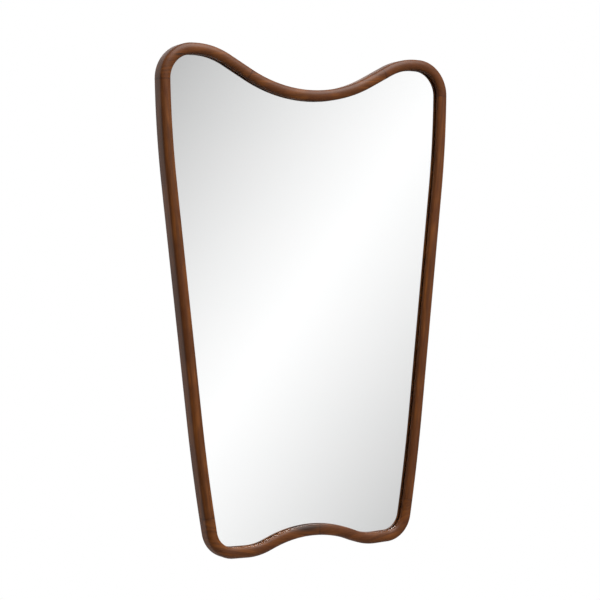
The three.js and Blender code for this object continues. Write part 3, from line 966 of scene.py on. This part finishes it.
# %% Model one strap
STRAP_WIDTH = 8 * MM
STRAP_LENGTH = 35 * MM
STRAP_SHEET = 1 * MM
EYE_MIDDLE = 2.3 * MM  # the bar's height over the wood
EYE_RADIUS = EYE_MIDDLE - STRAP_SHEET / 2  # to the middle of the sheet
EYE_TURN = math.radians(258)
KNEE = 3.2 * MM  # where the upper layer, coming down from the eye, meets the lower one
FIRST_SCREW = 18 * MM
SECOND_SCREW = 31 * MM
LAYER_GAP = 0.04 * MM
TRIM_HEIGHT = 12 * MM
TRIM_REACH = 60 * MM

bpy.ops.object.select_all(action="DESELECT")
bpy.ops.mesh.primitive_plane_add(size=1, location=(0, STRAP_LENGTH / 2, STRAP_SHEET / 2))
strap = bpy.context.object
strap.scale = (STRAP_WIDTH, STRAP_LENGTH, 1)
bpy.ops.object.transform_apply()
choose(strap, "EDGE", lambda place: place.y < NEAR)
bpy.ops.mesh.spin(steps=24, angle=EYE_TURN, center=(0, 0, EYE_MIDDLE), axis=(1, 0, 0))
bpy.ops.object.mode_set(mode="OBJECT")
rim = next(vertex.co.copy() for vertex in strap.data.vertices if vertex.select)
print("The eye, with a radius of", EYE_RADIUS / MM, "mm, ends at", [round(v / MM, 2) for v in rim])
bpy.ops.object.mode_set(mode="EDIT")
upper_layer = 1.5 * STRAP_SHEET + LAYER_GAP
for move in ((0, KNEE - rim.y, upper_layer - rim.z), (0, STRAP_LENGTH - KNEE, 0)):
    bpy.ops.mesh.extrude_region_move(TRANSFORM_OT_translate={"value": move})
bpy.ops.object.mode_set(mode="OBJECT")
apply_modifier(strap, "SOLIDIFY", thickness=STRAP_SHEET, offset=0)

trim = slotted_plate(STRAP_WIDTH / 2, TRIM_HEIGHT, lambda place: place.y < 0, (0, -TRIM_REACH, 0))
trim_place = (0, STRAP_LENGTH - STRAP_WIDTH / 2, -TRIM_HEIGHT / 4)
trim.data.transform(Matrix.Translation(trim_place))
cut_with(strap, trim, "INTERSECT")
for drop in (FIRST_SCREW, SECOND_SCREW):
    drill(strap, (0, drop, STRAP_SHEET), HOLE_RADIUS, 8 * STRAP_SHEET)
finish_edit(strap, smooth_angle=math.radians(40))
strap.data.materials.append(zinc)
print("The strap has", len(strap.data.polygons), "faces")

# %% Lay the straps on the wood
hanger_joints = [joint for joint in frame["joints"] if joint["name"].endswith("_ring_swing")]
for joint in hanger_joints:
    name = joint["child"].replace("_ring", "_strap")
    pivot = Vector(joint["pos_m"])
    put(strap, name, "root", Vector((pivot.x, BACK_Y, pivot.z)), 0, "_folded_sheet")
bpy.data.objects.remove(strap)
print("Laid", len(hanger_joints), "straps")

# %% [markdown]
# ## D-rings
#
# Each ring is one piece of round wire, bent into a D, with its two ends meeting inside the strap's
# eye. The wire's section is a circle, and the same sweep that made the frame carries it round the
# ring's own small outline. The ring hangs with its round end down, just clear of its strap.

# %% Bend one ring
WIRE_RADIUS = 1.1 * MM
RING_SIDE_GAP = 0.5 * MM
RING_REACH = 12 * MM
RING_BEND_RADIUS = 2 * MM
RING_BUTT_GAP = 0.6 * MM
RING_LIFT = 1.1 * MM  # of the far end of the wire over the bar

bpy.ops.object.select_all(action="DESELECT")
bpy.ops.mesh.primitive_circle_add(vertices=20, radius=WIRE_RADIUS, fill_type="NGON")
wire = bpy.context.object
half = STRAP_WIDTH / 2 + RING_SIDE_GAP + WIRE_RADIUS
d_shape = ring_spans([
    (half, 0, RING_BEND_RADIUS),
    (half, -RING_REACH, half),
    (-half, -RING_REACH, half),
    (-half, 0, RING_BEND_RADIUS),
])
bar_middle = -d_shape[0].length / 2 - (half - RING_BEND_RADIUS)
wire_length = sum(span.length for span in d_shape)
parts = stretch(
    d_shape, bar_middle + RING_BUTT_GAP / 2, bar_middle + wire_length - RING_BUTT_GAP / 2)
ring = sweep(wire, parts, "ring_model")
bpy.data.objects.remove(wire)
ring.data.transform(Matrix.Rotation(math.asin(RING_LIFT / RING_REACH), 4, "X"))
ring.data.materials.append(zinc)

for joint in hanger_joints:
    name = joint["child"]
    piece = copy_of(ring, name + "_wire")
    piece.data.transform(Matrix.Translation(joint["pos_m"]))
    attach(piece, name)
    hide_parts(name)
bpy.data.objects.remove(ring)
print("Each ring takes", round(wire_length / MM, 1), "mm of wire")

# %% [markdown]
# ## Rubber bumpers
#
# Four black rubber bumpers keep the hardware off the wall. A bumper is moulded as a short cone. The
# face that meets the wall has a shallow dish in it, made by an inset that is pushed down a little.

# %% Mould the rubber
rubber, tree, place = new_finish("moulded_black_rubber")
dust = spots(tree, place, 1.5 * MM, Detail=4.0)
close_finish(rubber, {
    "Base Color": blend(tree, dust, "#0c0c0c", "#1c1c1c"),
    "Roughness": 0.75,
    "Specular IOR Level": 0.4,
    "Normal": bumps(tree, dust, 0.3, 0.05 * MM),
})

# %% Model one bumper
BUMPER_HEIGHT = 5.5 * MM
BUMPER_BASE_RADIUS = 6 * MM
BUMPER_TOP_RADIUS = 5 * MM
BUMPER_ROUNDING = 0.5 * MM
DISH_RIM = 2.2 * MM
DISH_SLOPE = 0.8 * MM
DISH_DEPTH = 0.4 * MM

bpy.ops.object.select_all(action="DESELECT")
bpy.ops.mesh.primitive_cone_add(
    vertices=48, radius1=BUMPER_BASE_RADIUS, radius2=BUMPER_TOP_RADIUS, depth=BUMPER_HEIGHT,
    location=(0, 0, BUMPER_HEIGHT / 2))
bumper = bpy.context.object
bpy.ops.object.transform_apply()
choose(bumper, "FACE", lambda place: place.z > BUMPER_HEIGHT - NEAR)
bpy.ops.mesh.inset(thickness=DISH_RIM)
bpy.ops.mesh.inset(thickness=DISH_SLOPE)
bpy.ops.transform.translate(value=(0, 0, -DISH_DEPTH))
bpy.ops.object.mode_set(mode="OBJECT")
apply_modifier(bumper, "BEVEL", width=BUMPER_ROUNDING, segments=3, angle_limit=math.radians(50))
finish_edit(bumper, smooth_angle=math.radians(40))
bumper.data.materials.append(rubber)

bumper_nodes = [name for name in frame["nodes"] if name.endswith("_bumper")]
for name in bumper_nodes:
    low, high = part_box(name)
    foot = Vector(((low.x + high.x) / 2, BACK_Y, (low.z + high.z) / 2))
    put(bumper, name, "root", foot, 0, "_rubber")
bpy.data.objects.remove(bumper)
print("Stuck on", len(bumper_nodes), "bumpers")

# %% [markdown]
# ## The studio
#
# The photograph shows the mirror alone on white. The world is white for the camera and for light
# through clear glass. Everything else sees the studio: a white cove behind the mirror, which is
# brightest on the left and high up, a dark room where the camera stands, and a bright strip that
# fades to grey on both sides. The strip is what the mirror shows as a slanting white band. It ends a
# little below the horizon, so that the undersides of the wood stay dark. A large soft lamp above
# gives the rounded wood its light upper edges, and a smaller one behind lights the sides that face
# the wall. A place in this studio is a direction, as a vector of length 1, with X to the right.

# %% The world
BAND_ACROSS = Vector((0.690, 0.430, -0.582))  # at right angles to the bright strip
BAND_WIDTH = 0.275
BAND_FALL = 1.22
BAND_LIGHT = 1.06
BAND_FOOT = (-0.45, -0.2)  # the strip fades in between these heights
ROOM_SIDES = (-0.2, 0.4)
ROOM_LIGHT = (0.08, 0.28)  # of the dark room, from its left to its right
COVE_EDGE = (-0.4, 0.1)  # where the room in front turns into the cove behind
COVE_SIDES = (0.5, 0.1)
COVE_LIGHT = (0.32, 0.74)  # of the cove, from its right to its left
COVE_HEIGHTS = (-0.7, 0.1)
COVE_FOOT = 0.3  # the share of the light that is left at the cove's foot

world = bpy.data.worlds.new("white_studio")
bpy.context.scene.world = world
world.use_nodes = True
tree = world.node_tree
tree.nodes.clear()
towards = add_node(tree, "ShaderNodeTexCoord").outputs["Generated"]
axes = add_node(tree, "ShaderNodeSeparateXYZ", {0: towards}).outputs
off_band = add_node(tree, "ShaderNodeVectorMath", {
    0: towards, 1: BAND_ACROSS,
}, operation="DOT_PRODUCT").outputs["Value"]
share = reckon(tree, "DIVIDE", reckon(tree, "ABSOLUTE", off_band), BAND_WIDTH)
even = reckon(tree, "SUBTRACT", 1.0, reckon(tree, "POWER", share, BAND_FALL))
strip = reckon(tree, "MULTIPLY", even, remap(tree, axes["Z"], *BAND_FOOT, 0.0, BAND_LIGHT))
room = remap(tree, axes["X"], *ROOM_SIDES, *ROOM_LIGHT)
front = reckon(tree, "MAXIMUM", strip, room)
leftwards = remap(tree, axes["X"], *COVE_SIDES, *COVE_LIGHT)
upwards = remap(tree, axes["Z"], *COVE_HEIGHTS, COVE_FOOT, 1.0)
cove = reckon(tree, "MULTIPLY", leftwards, upwards)
behind = remap(tree, axes["Y"], *COVE_EDGE)
radiance = add_node(tree, "ShaderNodeMix", {0: behind, 2: front, 3: cove}).outputs[0]

ray = add_node(tree, "ShaderNodeLightPath").outputs
straight_through = reckon(tree, "MAXIMUM", ray["Is Camera Ray"], ray["Is Transmission Ray"])
studio, white = (
    add_node(tree, "ShaderNodeBackground", {"Color": (1, 1, 1, 1), "Strength": strength})
    for strength in (radiance, 1.0)
)
shown = add_node(tree, "ShaderNodeMixShader", {
    0: straight_through, 1: studio.outputs[0], 2: white.outputs[0],
})
add_node(tree, "ShaderNodeOutputWorld", {"Surface": shown.outputs[0]})
print("The studio takes", len(tree.nodes), "nodes")

# %% Soft lamps
LAMPS = {  # place, size in metres and power in watts
    "key": ((1.0, -2.6, 3.5), 3.2, 262),
    "back": ((0.9, 2.4, 0.5), 2.0, 18),
}
for name, (place, size, power) in LAMPS.items():
    bpy.ops.object.light_add(type="AREA", location=place)
    lamp = bpy.context.object
    lamp.name = name + "_lamp"
    lamp.data.size = size
    lamp.data.energy = power
    lamp.rotation_euler = (-Vector(place)).to_track_quat("-Z", "Y").to_euler()
    lamp.visible_camera = False
print("Lamps:", ", ".join(LAMPS))

# %% [markdown]
# The mirror hangs high on a wall, so the floor is well below it. It is a round sheet of pale matt
# paint that fades out towards its rim, so that no edge of it shows against the white.

# %% The floor
FLOOR_DROP = 0.8
FLOOR_RADIUS = 1.05
FADE_START = 0.3 * FLOOR_RADIUS
FADE_END = 0.98 * FLOOR_RADIUS

bpy.ops.object.select_all(action="DESELECT")
bpy.ops.mesh.primitive_circle_add(
    vertices=96, radius=FLOOR_RADIUS, fill_type="NGON", location=(0, 0, cad_low.z - FLOOR_DROP))
floor = bpy.context.object
floor.name = "floor"
bpy.ops.object.transform_apply()
floor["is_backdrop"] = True

pale, tree, place = new_finish("pale_matt_floor_paint")
flat_place = add_node(tree, "ShaderNodeVectorMath", {0: place, 1: (1, 1, 0)}, operation="MULTIPLY")
radius = add_node(tree, "ShaderNodeVectorMath", {0: flat_place.outputs[0]}, operation="LENGTH")
fade = add_node(tree, "ShaderNodeMapRange", {
    0: radius.outputs["Value"], 1: FADE_START, 2: FADE_END,
}, interpolation_type="SMOOTHSTEP")
speckle = spots(tree, place, 20 * MM, Detail=3.0)
matt_floor = add_node(tree, "ShaderNodeBsdfDiffuse", {
    "Color": blend(tree, speckle, "#ecebe9", "#f3f2f0"),
})
nothing = add_node(tree, "ShaderNodeBsdfTransparent")
faded = add_node(tree, "ShaderNodeMixShader", {
    0: fade.outputs[0], 1: matt_floor.outputs[0], 2: nothing.outputs[0],
})
add_node(tree, "ShaderNodeOutputMaterial", {"Surface": faded.outputs[0]})
floor.data.materials.append(pale)
print("The floor is", FLOOR_DROP, "m below the mirror")

# %% [markdown]
# ## Check the size and finish
# The visual model should keep the CAD model's size, so both boxes are printed.
# Blender must not change the object's size, so both boxes are written down to be compared.

# %% Set the view and print the sizes
bpy.context.scene.view_settings.view_transform = "Standard"
low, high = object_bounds()
print("Visual box in mm:", [round(side / MM, 2) for side in high - low])
